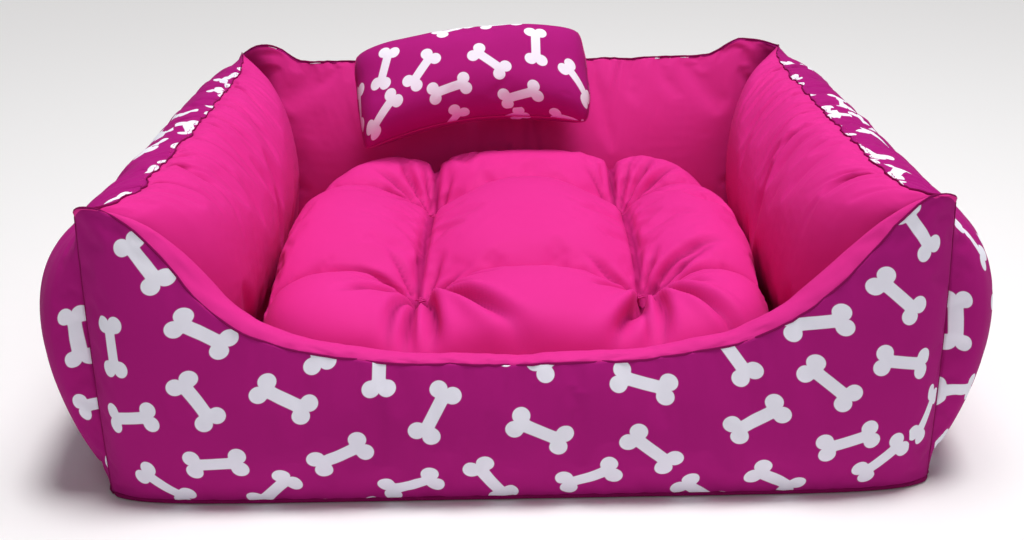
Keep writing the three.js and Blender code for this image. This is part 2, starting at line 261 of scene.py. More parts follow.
def plain_cloth(name, light, deep, roughness=0.62, sheen=0.03):
    """Smooth dyed microfibre: one colour that drifts a little, with a brushed nap, darkened by painted
    shade in its creases from a per-point attribute of the mesh.
    """
    material = bpy.data.materials.new(name)
    nodes = Nodes(material)
    place = nodes.cloth_place()
    drift = nodes.noise(nodes.object_place(), 9.0, 3.0)
    flecks = nodes.noise(place, 1500.0, 1.0)
    weight = nodes.maths("MULTIPLY_ADD", flecks, 0.3, nodes.maths("MULTIPLY", drift, 0.7))
    colour = nodes.blend_colour(weight, deep, light)
    # painted shade: the per-point attribute darkens the colour towards deep crimson in creases and
    # recesses
    painted_shade = nodes.add("ShaderNodeAttribute", attribute_name="painted_shade").outputs["Fac"]
    colour = nodes.blend_colour(painted_shade, colour, (0.36 * deep[0], 0.12 * deep[1], 0.3 * deep[2]))
    nodes.finish_cloth(colour, place, roughness, sheen, (1.0, 0.35, 0.75))
    return material


def bone_mask(nodes, place):
    """1 inside a bone of the print and 0 outside it."""
    tile = [side * CM / 2 for side in PRINT_TILE]
    nearest = None
    for across, up, degrees in PRINT_BONES:
        away = nodes.vector("SUBTRACT", place, (across * CM, up * CM, 0))
        away = nodes.vector("WRAP", away, (tile[0], tile[1], 1), (-tile[0], -tile[1], -1))
        rotate = nodes.add("ShaderNodeVectorRotate", rotation_type="Z_AXIS")
        nodes.wire(away, rotate.inputs["Vector"])
        rotate.inputs["Angle"].default_value = -math.radians(degrees)
        oval = nodes.vector("MULTIPLY", rotate, (0.5, 1, 1))
        reach = nodes.vector("LENGTH", oval, out="Value")
        if nearest is None:
            nearest, shortest = rotate.outputs[0], reach
            continue
        closer = nodes.maths("LESS_THAN", reach, shortest)
        nearest = nodes.blend_vector(closer, nearest, rotate.outputs[0])
        shortest = nodes.maths("MINIMUM", reach, shortest)
    quarter = nodes.vector("ABSOLUTE", nearest)
    from_knob = nodes.vector("SUBTRACT", quarter, (BONE_REACH, BONE_KNOB_OFF, 0))
    knob = nodes.vector("LENGTH", from_knob, out="Value")
    parts = nodes.add("ShaderNodeSeparateXYZ")
    nodes.wire(quarter, parts.inputs[0])
    past_end = nodes.maths("SUBTRACT", parts.outputs[0], BONE_REACH)
    past_side = nodes.maths("SUBTRACT", parts.outputs[1], BONE_SHAFT)
    shaft = nodes.maths("MAXIMUM", past_end, past_side)
    edge = nodes.maths("SMOOTH_MIN", nodes.maths("SUBTRACT", knob, BONE_KNOB), shaft, BONE_ROUNDING)
    ramp = nodes.add("ShaderNodeMapRange")
    ramp.inputs["From Min"].default_value = BONE_EDGE
    ramp.inputs["From Max"].default_value = -BONE_EDGE
    nodes.wire(edge, ramp.inputs["Value"])
    return ramp.outputs[0]


def print_cloth(name):
    """Woven cotton printed all over with pale bones."""
    material = bpy.data.materials.new(name)
    nodes = Nodes(material)
    place = nodes.cloth_place()
    drift = nodes.noise(nodes.object_place(), 7.0, 3.0)
    ground = nodes.blend_colour(drift, RASPBERRY_DEEP, RASPBERRY)
    bone = nodes.blend_colour(drift, BONE_WHITE_SHADE, BONE_WHITE)
    colour = nodes.blend_colour(bone_mask(nodes, place), ground, bone)
    nodes.finish_cloth(colour, place, 0.75, 0.02, (1.0, 0.75, 0.9))
    return material


def loose_fibre(name):
    material = bpy.data.materials.new(name)
    nodes = Nodes(material)
    place = nodes.object_place()
    tufts = nodes.noise(place, 60.0, 6.0, 0.7)
    colour = nodes.blend_colour(tufts, (0.78, 0.77, 0.74), (0.93, 0.92, 0.90))
    nodes.wire(colour, nodes.shader.inputs["Base Color"])
    nodes.wire(nodes.bump(tufts, 3 * MM), nodes.shader.inputs["Normal"])
    nodes.shader.inputs["Roughness"].default_value = 0.95
    return material


def foam(name):
    material = bpy.data.materials.new(name)
    nodes = Nodes(material)
    place = nodes.object_place()
    cells = nodes.add("ShaderNodeTexVoronoi")
    cells.inputs["Scale"].default_value = 900.0
    nodes.wire(place, cells.inputs["Vector"])
    colour = nodes.blend_colour(cells.outputs["Distance"], (0.62, 0.58, 0.42), (0.86, 0.82, 0.66))
    nodes.wire(colour, nodes.shader.inputs["Base Color"])
    nodes.wire(nodes.bump(cells.outputs["Distance"], 0.5 * MM), nodes.shader.inputs["Normal"])
    nodes.shader.inputs["Roughness"].default_value = 0.9
    return material


PLAIN = plain_cloth("plain_fabric", HOT_PINK, HOT_PINK_DEEP)
PRINT = print_cloth("print_fabric")
SEAM = plain_cloth("seam_fabric", (0.30, 0.008, 0.12), (0.22, 0.006, 0.085), 0.8, 0.0)
UNDERSIDE = plain_cloth("underside_fabric", (0.045, 0.016, 0.034), (0.03, 0.010, 0.022), 0.85, 0.1)
THREAD = plain_cloth("tuft_thread", (0.62, 0.02, 0.22), (0.5, 0.016, 0.18), 0.6, 0.2)
FIBRE = loose_fibre("fibre_fill")
FOAM = foam("foam_pad")
MATERIALS = {
    "plain_fabric": PLAIN, "print_fabric": PRINT, "seam_fabric": SEAM, "fibre_fill": FIBRE,
    "underside_fabric": UNDERSIDE, "tuft_thread": THREAD, "foam_pad": FOAM,
}

# ------------------------------------------------------------------ numbers and curves


def smooth(value):
    value = np.clip(value, 0, 1)
    return value * value * (3 - 2 * value)


def mix(first, second, weight):
    return first + (second - first) * weight


def through(points, x, spread):
    """A soft curve through (x, y) points: straight runs rounded over +-spread."""
    xs, ys = np.array(points, float).T
    offsets = np.linspace(-1, 1, 13)
    weights = np.cos(offsets * math.pi / 2) + 1e-6
    total = sum(w * np.interp(x + o * spread, xs, ys) for o, w in zip(offsets, weights))
    return total / weights.sum()


def bezier(points, s):
    p = [np.array(q, float) for q in points]
    s = np.asarray(s)[:, None]
    return (
        (1 - s) ** 3 * p[0] + 3 * (1 - s) ** 2 * s * p[1]
        + 3 * (1 - s) * s ** 2 * p[2] + s ** 3 * p[3])


def wobble(place, seed, longest, count=6):
    """A smooth wandering value near +-1 along a length, the same on every run."""
    draw = np.random.default_rng(seed)
    total = np.zeros_like(np.asarray(place, float))
    for k in range(count):
        wave = longest / (1.6 ** k)
        total += np.sin(2 * math.pi * (place / wave + draw.random())) / (1.25 ** k)
    return total / 2.2


def value_noise(x, y, seed):
    """Smooth random heights from 0 to 1 over a plane, the same on every run."""
    size = 64
    lattice = np.random.default_rng(seed).random((size, size))
    x, y = np.broadcast_arrays(np.asarray(x, float), np.asarray(y, float))
    i, j = np.floor(x).astype(int), np.floor(y).astype(int)
    fx, fy = smooth(x - i), smooth(y - j)
    corner = lambda a, b: lattice[(i + a) % size, (j + b) % size]
    return mix(mix(corner(0, 0), corner(1, 0), fx), mix(corner(0, 1), corner(1, 1), fx), fy)


def crowded(count, share):
    """`count` values from -1 to 1 that lie closer together towards both ends."""
    warp = share * math.pi / 2
    return np.sin(np.linspace(-1, 1, count) * warp) / math.sin(warp)


def refine(grid):
    """Twice as many rows and columns, on a smooth curve through the given points."""
    for _ in range(2):
        wide = np.concatenate([2 * grid[:1] - grid[1:2], grid, 2 * grid[-1:] - grid[-2:-1]])
        middle = (9 * (wide[1:-2] + wide[2:-1]) - wide[:-3] - wide[3:]) / 16
        fine = np.empty((2 * len(grid) - 1, *grid.shape[1:]))
        fine[::2] = grid
        fine[1::2] = middle
        grid = fine.swapaxes(0, 1)
    return grid


def grid_normals(grid):
    across = np.gradient(grid, axis=1)
    up = np.gradient(grid, axis=0)
    normal = np.cross(across, up)
    return normal / np.maximum(np.linalg.norm(normal, axis=2, keepdims=True), 1e-12)


# ------------------------------------------------------------------ meshes


def new_object(name, points, faces, cloth_map=None, painted_shade=None):
    mesh = bpy.data.meshes.new(name)
    mesh.from_pydata([tuple(p) for p in points], [], [tuple(map(int, f)) for f in faces])
    mesh.polygons.foreach_set("use_smooth", [True] * len(mesh.polygons))
    if cloth_map is not None:
        layer = mesh.uv_layers.new(name="cloth")
        corners = np.zeros(len(mesh.loops), np.int32)
        mesh.loops.foreach_get("vertex_index", corners)
        layer.data.foreach_set("uv", np.asarray(cloth_map, np.float32)[corners].ravel())
    # a per-point attribute of painted shade, which darkens the cloth's colour in its creases
    if painted_shade is not None:
        depth = mesh.attributes.new("painted_shade", "FLOAT", "POINT")
        depth.data.foreach_set("value", np.asarray(painted_shade, np.float32).ravel())
    mesh.update()
    ob = bpy.data.objects.new(name, mesh)
    bpy.context.scene.collection.objects.link(ob)
    return ob


def grid_faces(rows, columns, first=0):
    """Quads of a grid whose normals point along (column step) x (row step)."""
    i, j = np.meshgrid(np.arange(rows - 1), np.arange(columns - 1), indexing="ij")
    a = first + i * columns + j
    return np.stack([a, a + 1, a + columns + 1, a + columns], -1).reshape(-1, 4)


def ring_faces(first, second, count):
    """Quads between two closed rings of `count` points, numbered from `first` and `second`."""
    return [
        (first + j, first + (j + 1) % count, second + (j + 1) % count, second + j)
        for j in range(count)]


def rim_mask(rows, columns):
    rim = np.zeros((rows, columns), bool)
    rim[[0, -1], :] = True
    rim[:, [0, -1]] = True
    return rim


def rim_loop(grid):
    """The points round the edge of a grid, as one closed line."""
    return np.concatenate([grid[0, :-1], grid[:-1, -1], grid[-1, :0:-1], grid[:0:-1, 0]])


def path_lengths(path):
    """How far along a path each of its points is."""
    steps = np.linalg.norm(np.diff(path, axis=0), axis=1)
    return np.concatenate([[0], np.cumsum(steps)])


def arc_lengths(points):
    """Lengths along axis 1 of a grid of points, from its first column."""
    steps = np.linalg.norm(np.diff(points, axis=1), axis=2)
    return np.concatenate([np.zeros((len(points), 1)), np.cumsum(steps, axis=1)], axis=1)


def flat_map(grid):
    """Where each point of a puffed grid lies on its flat cloth, from the grid's middle."""
    u = arc_lengths(grid)
    v = arc_lengths(grid.swapaxes(0, 1)).swapaxes(0, 1)
    row, column = len(grid) // 2, grid.shape[1] // 2
    return np.stack([u - u[:, column: column + 1], v - v[row: row + 1]], -1)


def get_points(ob):
    flat = np.zeros(len(ob.data.vertices) * 3, np.float32)
    ob.data.vertices.foreach_get("co", flat)
    return flat.reshape(-1, 3).astype(float)


def set_points(ob, points):
    ob.data.vertices.foreach_set("co", np.asarray(points, np.float32).ravel())
    ob.data.update()


def thicken(ob, depth, levels=1):
    """Cloth thickness laid inward, under one level of smoothing."""
    if levels:
        smoother = ob.modifiers.new("smooth", "SUBSURF")
        smoother.levels = levels
        smoother.render_levels = levels
        smoother.uv_smooth = "NONE"
    solid = ob.modifiers.new("cloth", "SOLIDIFY")
    solid.thickness = depth
    solid.offset = -1
    return ob


def finish_piece(ob, body, slot, nodes=()):
    ob.data.materials.clear()
    ob.data.materials.append(MATERIALS[slot])
    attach(ob, body)
    if nodes:
        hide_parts(*nodes)
    return ob


# ------------------------------------------------------------------ cloth simulation

CLOTH_SETTINGS = {
    "quality": 5, "mass": 0.25, "shear_stiffness": 6, "tension_damping": 8,
    "compression_damping": 8, "shear_damping": 8, "bending_damping": 1, "air_damping": 2,
    "use_pressure": True, "vertex_group_mass": "held", "pin_stiffness": 1,
}
simulated = []


def add_cloth(ob, pinned, pressure, grow, frames, cap, bend=0.6, stretch=18.0):
    """Queue a piece for the shared simulation. `pinned` holds one weight per vertex, `grow`
    is the extra length of cloth, and no point moves further than `cap`."""
    group = ob.vertex_groups.new(name="held")
    for weight in np.unique(pinned):
        if weight > 0:
            group.add([int(k) for k in np.flatnonzero(pinned == weight)], float(weight), "REPLACE")
    cloth = ob.modifiers.new("Cloth", "CLOTH")
    settings = cloth.settings
    for key, value in CLOTH_SETTINGS.items():
        setattr(settings, key, value)
    settings.tension_stiffness = stretch
    settings.compression_stiffness = stretch * 0.6
    settings.bending_stiffness = bend
    settings.uniform_pressure_force = pressure
    settings.shrink_min = -grow
    settings.shrink_max = -grow
    settings.effector_weights.gravity = 0
    cloth.collision_settings.use_collision = False
    cloth.point_cache.frame_start = 1
    cloth.point_cache.frame_end = frames
    simulated.append((ob, frames, cap))


def run_cloth():
    """Steps every queued piece together, then keeps each result as plain mesh."""
    if simulated:
        scene = bpy.context.scene
        scene.frame_start = 1
        last = max(frames for _, frames, _ in simulated)
        scene.frame_end = last
        for step in range(1, last + 1):
            scene.frame_set(step)
        for ob, _, cap in simulated:
            view = ob.evaluated_get(bpy.context.evaluated_depsgraph_get())
            moved = np.zeros(len(view.data.vertices) * 3, np.float32)
            view.data.vertices.foreach_get("co", moved)
            moved = moved.reshape(-1, 3).astype(float)
            start = get_points(ob)
            shift = moved - start
            size = np.linalg.norm(shift, axis=1, keepdims=True)
            limit = cap * np.tanh(size / cap) / np.maximum(size, 1e-9)
            ob.modifiers.remove(ob.modifiers["Cloth"])
            set_points(ob, start + shift * limit)
        scene.frame_set(1)


# ------------------------------------------------------------------ walls

# A wall's section is drawn with cubic curves in centimetres, as [outward, up] control
# points: up the outer face to the top seam, then down the inner face.
CORNER_OUT = 30.2
SIDE_MID = {
    "seam": 28.4,
    "outer": [(31.0, 0.3), (34.2, 3.0), (38.8, 21.0)],
    "inner": [(23.6, 21.6), (21.1, 12.8), (24.2, 0.9)],
}
CORNER_SECTION = {
    "outer": [(30.1, 0.3), (30.2, 7.0), (30.2, 14.0)],
    "inner": [(29.4, 17.5), (28.0, 10.0), (27.0, 0.9)],
}
WALLS = {
    "left": {
        "turn": 90, "ripple": 0.2, **SIDE_MID, "grow": 0.012, "belly": (9, 12), "gathers": 17,
        "top": [
            (-30, 21.7), (-27, 21.1), (-20, 20.2), (0, 19.9), (20, 20.1), (26, 20.6), (30, 21.2)],
    },
    "right": {
        "turn": -90, "ripple": 0.2, **SIDE_MID, "grow": 0.012, "belly": (9, 12), "gathers": 17,
        "top": [
            (-30, 21.0), (-26, 20.4), (-20, 20.0), (0, 19.9), (20, 20.2), (27, 21.0), (30, 21.6)],
    },
    "back": {
        "turn": 0, "ripple": 0.1, "grow": 0.01, "belly": (8, 5), "gathers": 6,
        "seam": 28.8,
        "outer": [(31.8, 0.3), (37.0, 4.5), (36.5, 16.0)],
        "inner": [(26.6, 17.6), (22.8, 11.0), (23.0, 0.9)],
        "top": [
            (-31, 20.6), (-28.4, 21.6), (-26, 21.4), (-23.6, 19.6), (0, 19.2), (22, 19.5),
            (25, 21.3), (28.4, 21.0), (31, 20.2)],
    },
    "front": {
        "turn": 180, "ripple": 0.05, "gathers": 0, "grow": 0.004, "belly": (9, 6), "roll": -0.4,
        "seam": 31.7,
        "outer": [(31.8, 0.2), (33.4, 3.0), (32.9, 7.0)],
        "inner": [(31.7, 12.6), (26.0, 10.0), (26.6, 0.9)],
        # seen from outside the bed, so the right-hand end comes first
        "top": [
            (-30, 22.3), (-27.7, 22.2), (-25.9, 20.4), (-23.4, 17.2), (-20.0, 13.8), (-15.6, 11.6),
            (-9.0, 10.5), (0, 10.3), (8.3, 10.5), (15.2, 11.5), (19.2, 13.1), (21.8, 15.2),
            (23.6, 18.2), (25.9, 21.0), (28.0, 22.3), (30, 22.5),
        ],
    },
}
# how high the top seam stands at each end of a wall, in centimetres
CORNER_TOP = {
    "left": (22.0, 20.2), "right": (20.1, 21.9), "back": (20.1, 20.2), "front": (21.9, 22.0),
}
CORNER_HEIGHT = 21.0    # the top that CORNER_SECTION is drawn for
CORNER_SHARPNESS = 30   # the higher it is, the closer to a wall's end its top bends to the corner
TOP_ROUNDING = 1.2
WALL_ROWS = 121
OUTER_COLUMNS = 45
INNER_COLUMNS = 39
CLOTH_HALF = 31.5 * CM
CLOTH_THICK = 1.2 * MM
WALL_PRESSURE = 3.0
WALL_FRAMES = 26
WALL_CAP = 30 * MM
# where each wall was cut from the printed cloth, along it
PRINT_OFFSET = {"left": 4.5 * CM, "right": 3.2 * CM, "back": 24.0 * CM, "front": 0}


def wall_turn(wall, local):
    """Local (along, outward, up) in centimetres to the bed's frame in metres."""
    angle = math.radians(wall["turn"])
    c, s = math.cos(angle), math.sin(angle)
    x = local[..., 0] * c - local[..., 1] * s
    y = local[..., 0] * s + local[..., 1] * c
    return np.stack([x, y, local[..., 2]], -1) * CM


def wall_grid(name):
    """The sewn shape of a wall before it is stuffed, as rows along it and columns round it."""
    wall = WALLS[name]
    stations = np.linspace(-1, 1, WALL_ROWS)
    seed = 10 * (1 + list(WALLS).index(name))
    rows = []
    for t in stations:
        weight, inner_weight = (abs(t) ** power for power in wall["belly"])
        seam_out = mix(wall["seam"], CORNER_OUT - 0.2, weight)
        along = t * seam_out
        top = float(through(wall["top"], along, TOP_ROUNDING))
        top = mix(top, CORNER_TOP[name][0 if t < 0 else 1], abs(t) ** CORNER_SHARPNESS)
        top += wall["ripple"] * 0.75 * float(wobble(along, seed, 9.0)) * (1 - weight)
        seam_out += wall["ripple"] * float(wobble(along, seed + 1, 8.0)) * (1 - weight)
        lift = top / float(through(wall["top"], 0.0, TOP_ROUNDING))
        top -= wall.get("roll", 0) * (1 - weight)
        corner_lift = top / CORNER_HEIGHT
        outer = []
        inner = []
        for k in range(3):
            n, z = wall["outer"][k]
            cn, cz = CORNER_SECTION["outer"][k]
            z = z * (lift if k == 2 and name == "front" else 1)
            cz = cz * (corner_lift if k == 2 else 1)
            outer.append((mix(n, cn, weight), mix(z, cz, weight)))
            n, z = wall["inner"][k]
            cn, cz = CORNER_SECTION["inner"][k]
            z = z * (lift if k < 2 and name == "front" else 1)
            cz = cz * (corner_lift if k == 0 else 1)
            inner.append((mix(n, cn, inner_weight), mix(z, cz, inner_weight)))
        seam = (seam_out, top)
        up = bezier([*outer, seam], np.linspace(0, 1, OUTER_COLUMNS))
        down = bezier([seam, *inner], np.linspace(0, 1, INNER_COLUMNS))
        section = np.concatenate([up, down[1:]])
        rows.append(np.stack([t * section[:, 0], section[:, 0], section[:, 1]], -1))
    return wall_turn(wall, np.array(rows))


def wall_piece(name):
    """A wall's cloth as one grid, ready to be stuffed."""
    grid = wall_grid(name)
    rows, columns = grid.shape[:2]
    ob = new_object(f"{name}_cloth", grid.reshape(-1, 3), grid_faces(rows, columns))
    pinned = np.zeros((rows, columns))
    pinned[:, [0, OUTER_COLUMNS - 1, columns - 1]] = 1
    pinned[[0, -1], :] = 1
    grow = WALLS[name]["grow"]
    add_cloth(ob, pinned.ravel(), WALL_PRESSURE, grow, WALL_FRAMES, WALL_CAP, bend=3.0)
    return ob, grid


def valley(offset, width):
    """A crease with full cloth on both its sides: 1 at its bottom, a little under 0 beside."""
    share = offset / width
    return np.exp(-share ** 2) - 0.3 * np.exp(-((np.abs(share) - 2.0) / 1.1) ** 2)


def gathers(name, along, from_seam, seed):
    """How deep the creases that run down from a wall's top seam are, in metres."""
    draw = np.random.default_rng(seed)
    depth = np.zeros_like(along)
    for _ in range(WALLS[name]["gathers"]):
        start, slope, bend = draw.uniform(-24, 24) * CM, draw.normal(0, 0.25), draw.normal(0, 1.2)
        length, deepest = draw.uniform(3, 13) * CM, draw.uniform(1.8, 4.6) * MM
        line = start + slope * from_seam + bend * from_seam ** 2
        width = 2.4 * MM + 0.035 * from_seam
        window = smooth(from_seam / (0.5 * CM)) * smooth(1 - from_seam / length)
        depth += deepest * valley(along - line, width) * window
    return depth


def wall_painted_shade(name, part, depth, cloth_map):
    """Painted shade: darker in the creases and on the flat webs at the bed's inner corners, which lie in
    shadow.
    """
    shade = 0.7 * smooth(depth / (6 * MM))
    if part == "inner" and name != "front":
        # painted shade on the flat corner webs, darkest at the wall's ends
        end = np.abs(cloth_map[..., 0]) / CLOTH_HALF
        shade = np.maximum(shade, 0.75 * smooth((end - 0.9) / 0.07))
    return shade


def split_wall(name, ob, rest):
    """Cuts the stuffed wall along its top seam into its outer and inner covers."""
    rows, columns = rest.shape[:2]
    points = get_points(ob).reshape(rows, columns, 3)
    bpy.data.objects.remove(ob)
    along = np.linspace(-1, 1, rows) * CLOTH_HALF
    seed = 40 + 7 * list(WALLS).index(name)
    parts = {
        "outer": (slice(0, OUTER_COLUMNS), "print_fabric"),
        "inner": (slice(OUTER_COLUMNS - 1, columns), "plain_fabric"),
    }
    for part, (columns_kept, slot) in parts.items():
        up = arc_lengths(rest[:, columns_kept])
        # the print runs the same way round on every wall, seen from outside
        cloth_map = np.stack([np.broadcast_to(-along[:, None], up.shape), up], -1)
        offset = np.array([PRINT_OFFSET[name] if part == "outer" else 0, 0])
        kept = refine(points[:, columns_kept])
        cloth_map = refine(cloth_map)
        from_seam = cloth_map[..., 1] if part == "inner" else cloth_map[:, -1:, 1] - cloth_map[..., 1]
        depth = gathers(name, cloth_map[..., 0], from_seam, seed)
        kept -= depth[..., None] * grid_normals(kept)
        # each cover carries its painted shade of creases and corner webs as a per-point attribute
        cover = new_object(
            f"{name}_{part}_cover", kept.reshape(-1, 3), grid_faces(*kept.shape[:2]),
            (cloth_map + offset).reshape(-1, 2), wall_painted_shade(name, part, depth, cloth_map))
        thicken(cover, CLOTH_THICK, 0)
        finish_piece(cover, "shell", slot, [f"{name}_{part}_panel"])
    return points


def tube(name, path, radius, sides=8, closed=False, squash=(1.0, 1.0), up=(0, 0, 1)):
    """A cord swept along a path. `squash` scales it (across, along `up`)."""
    path = np.asarray(path, float)
    if closed:
        ahead, behind = np.roll(path, -1, 0), np.roll(path, 1, 0)
    else:
        ahead = np.concatenate([path[1:], path[-1:]])
        behind = np.concatenate([path[:1], path[:-1]])
    run = ahead - behind
    run /= np.maximum(np.linalg.norm(run, axis=1, keepdims=True), 1e-9)
    up = np.broadcast_to(np.asarray(up, float), path.shape)
    across = np.cross(run, up)
    across /= np.maximum(np.linalg.norm(across, axis=1, keepdims=True), 1e-9)
    rise = np.cross(across, run)
    turns = np.arange(sides) * 2 * math.pi / sides
    radius = np.broadcast_to(np.asarray(radius, float), len(path))
    rings = (
        path[:, None]
        + across[:, None] * (np.cos(turns)[None, :, None] * squash[0] * radius[:, None, None])
        + rise[:, None] * (np.sin(turns)[None, :, None] * squash[1] * radius[:, None, None]))
    count = len(path)
    faces = []
    for k in range(count if closed else count - 1):
        a, b = k * sides, (k + 1) % count * sides
        faces += ring_faces(a, b, sides)
    if not closed:
        faces.append(tuple(range(sides))[::-1])
        faces.append(tuple((count - 1) * sides + j for j in range(sides)))
    lengths = path_lengths(path)
    girth = turns * radius.mean()
    cloth_map = np.stack(np.broadcast_arrays(lengths[:, None], girth[None, :]), -1)
    return new_object(name, rings.reshape(-1, 3), faces, cloth_map.reshape(-1, 2))


def resample(path, pitch):
    """Points along a path, one every `pitch`."""
    path = np.asarray(path, float)
    lengths = path_lengths(path)
    places = np.arange(pitch / 2, lengths[-1], pitch)
    return np.stack([np.interp(places, lengths, path[:, k]) for k in range(3)], -1)


# a stitch from end to end: (along its length, rise and fatness as shares of its radius)
STITCH = [(-0.5, -0.7, 0.5), (-0.3, 0.35, 1.0), (0.0, 0.6, 1.1), (0.3, 0.35, 1.0), (0.5, -0.7, 0.5)]


def stitches(name, path, outward, pitch=5.0 * MM, length=3.3 * MM, radius=0.45 * MM):
    """A run of short stitches lying on the cloth along a path, bowed out in the middle."""
    places = resample(path, pitch)
    ahead = np.gradient(places, axis=0)
    ahead /= np.linalg.norm(ahead, axis=1, keepdims=True)
    outward = np.broadcast_to(np.asarray(outward, float), places.shape)
    side = np.cross(ahead, outward)
    side /= np.linalg.norm(side, axis=1, keepdims=True)
    lift = np.cross(side, ahead)
    sides = 6
    turns = np.arange(sides) * 2 * math.pi / sides
    points = []
    faces = []
    for k in range(len(places)):
        first = len(points)
        for t, rise, fat in STITCH:
            middle = places[k] + ahead[k] * t * length + lift[k] * rise * radius
            for a in turns:
                spoke = side[k] * math.cos(a) + lift[k] * math.sin(a)
                points.append(middle + spoke * radius * fat)
        for ring in range(len(STITCH) - 1):
            a, b = first + ring * sides, first + (ring + 1) * sides
            faces += [(a + j, b + j, b + (j + 1) % sides, a + (j + 1) % sides) for j in range(sides)]
        faces.append(tuple(first + j for j in range(sides)))
        last = first + (len(STITCH) - 1) * sides
        faces.append(tuple(last + j for j in range(sides))[::-1])
    points = np.array(points)
    return new_object(name, points, faces, points[:, :2])


def filling(name, loops, inset):
    """Stuffing inside closed loops of cloth: each loop drawn in towards its own middle."""
    loops = np.asarray(loops, float)
    count, columns = loops.shape[:2]
    middles = loops.mean(1, keepdims=True)
    away = loops - middles
    reach = np.linalg.norm(away, axis=2, keepdims=True)
    loops = middles + away * np.clip(1 - inset / np.maximum(reach, 1e-6), 0.4, 0.85)
    points = np.concatenate([loops.reshape(-1, 3), middles[0], middles[-1]])
    faces = []
    for k in range(count - 1):
        a, b = k * columns, (k + 1) * columns
        faces += ring_faces(a, b, columns)
    head, foot = count * columns, count * columns + 1
    faces += [(head, (j + 1) % columns, j) for j in range(columns)]
    last = (count - 1) * columns
    faces += [(foot, last + j, last + (j + 1) % columns) for j in range(columns)]
    return new_object(name, points, faces, points[:, :2])


def stuffing(name, top, bottom, inset):
    """Stuffing between two facing grids of cloth, kept clear of both."""
    across = top - bottom
    depth = np.linalg.norm(across, axis=2, keepdims=True)
    ease = across / np.maximum(depth, 1e-9) * np.minimum(inset, 0.45 * depth)
    upper, lower = top - ease, bottom + ease
    rim = rim_mask(*top.shape[:2])
    shared = (upper + lower) / 2
    upper[rim] = shared[rim]
    lower[rim] = shared[rim]
    return closed_pad(name, upper, lower)


# ------------------------------------------------------------------ wall seams and corners


def wall_seams(name, points):
    """The ridge where a wall's two covers are sewn together, and its stitches."""
    seam = points[:, OUTER_COLUMNS - 1]
    angle = math.radians(WALLS[name]["turn"])
    outward = np.array([-math.sin(angle), math.cos(angle), 0])
    along = np.linalg.norm(seam - seam[0], axis=1) / CM
    seed = 100 + list(WALLS).index(name)
    ripple = wobble(along, seed, 5.0, 4)[:, None] * 0.7 * MM
    lift = np.array([0, 0, 0.6 * MM]) if name != "front" else np.zeros(3)
    line = seam + lift + ripple * outward
    radius = 0.5 * MM if name == "front" else 0.6 * MM
    ridge = tube(f"{name}_seam_ridge", line, radius, 8, squash=(0.8, 2.0))
    finish_piece(ridge, "shell", "seam_fabric", [f"{name}_top_seam"])
    if name == "front":
        return
    below = mix(points[:, OUTER_COLUMNS - 1], points[:, OUTER_COLUMNS - 2], 0.6)
    row = stitches(f"{name}_topstitch", below, outward, radius=0.3 * MM)
    finish_piece(row, "shell", "tuft_thread")


def corner_seam(name, first, last):
    """The seam where two walls meet and their covers end."""
    ends = (wall_points[first][-1], wall_points[last][0])
    line = (ends[0] + ends[1]) / 2
    path = resample(line, 5 * MM)
    sideways = np.cross([0, 0, 1.0], path * [1, 1, 0])
    welt = tube(f"{name}_corner_welt", path, 0.5 * MM, 8, up=sideways)
    finish_piece(welt, "shell", "seam_fabric", [f"corner_web_{name}"])


def wall_filling(name, points):
    loops = points[12:-12:3, ::3]
    body = filling(f"{name}_stuffing", loops, 9 * MM)
    finish_piece(body, "shell", "fibre_fill", [f"{name}_fill"])


# ------------------------------------------------------------------ base


QUILT_PITCH = 9 * CM


def base_outline(column):
    """The closed line along one edge of all four walls, going round the bed."""
    order = ("back", "left", "front", "right")
    return np.concatenate([wall_points[name][:-1, column] for name in order])


def disc(name, outline, rings, height):
    """A cloth panel filling a closed outline, as rings round its middle."""
    middle = outline.mean(0)
    shares = np.linspace(1, 0.04, rings)
    points = [middle + (outline - middle) * share for share in shares]
    points = np.array(points)
    inner = (1 - shares)[:, None]
    points[..., 2] = height(points[..., 0], points[..., 1], inner)
    count = len(outline)
    faces = []
    for k in range(rings - 1):
        a, b = k * count, (k + 1) * count
        faces += ring_faces(a, b, count)
    faces.append(tuple((rings - 1) * count + j for j in range(count)))
    flat = points.reshape(-1, 3)
    return new_object(name, flat, faces, flat[:, :2])


def add_base():
    """The underside, its hem, the foam pad and the quilted lining."""
    outline = base_outline(0)
    def underside(x, y, inner):
        pucker = np.sin(x * 90 + 2 * np.sin(y * 40)) * np.sin(y * 80)
        return 1.6 * MM + 0.6 * MM * pucker * smooth(inner * 6)
    panel = disc("base_underside", outline, 26, underside)
    thicken(panel, CLOTH_THICK, 0)
    finish_piece(panel, "shell", "underside_fabric", ["base_bottom_panel"])
    hem_line = outline * [1.0, 1.0, 0] + [0, 0, 2.2 * MM]
    hem = tube("base_hem", hem_line, 1.7 * MM, 8, closed=True, squash=(1.0, 1.1))
    finish_piece(hem, "shell", "seam_fabric")
    inside = base_outline(-1)
    def quilted(x, y, inner):
        channel = np.abs(np.sin(x * math.pi / QUILT_PITCH)) * np.abs(np.sin(y * math.pi / QUILT_PITCH))
        return 11.4 * MM + 0.9 * MM * channel ** 0.5 * smooth(inner * 5)
    lining = disc("base_lining_sheet", inside, 40, quilted)
    thicken(lining, 1.0 * MM, 0)
    finish_piece(lining, "shell", "plain_fabric", ["base_lining"])
    low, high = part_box("base_pad")
    pad = rounded_slab("base_foam_pad", low, high, 26)
    finish_piece(pad, "shell", "foam_pad", ["base_pad"])


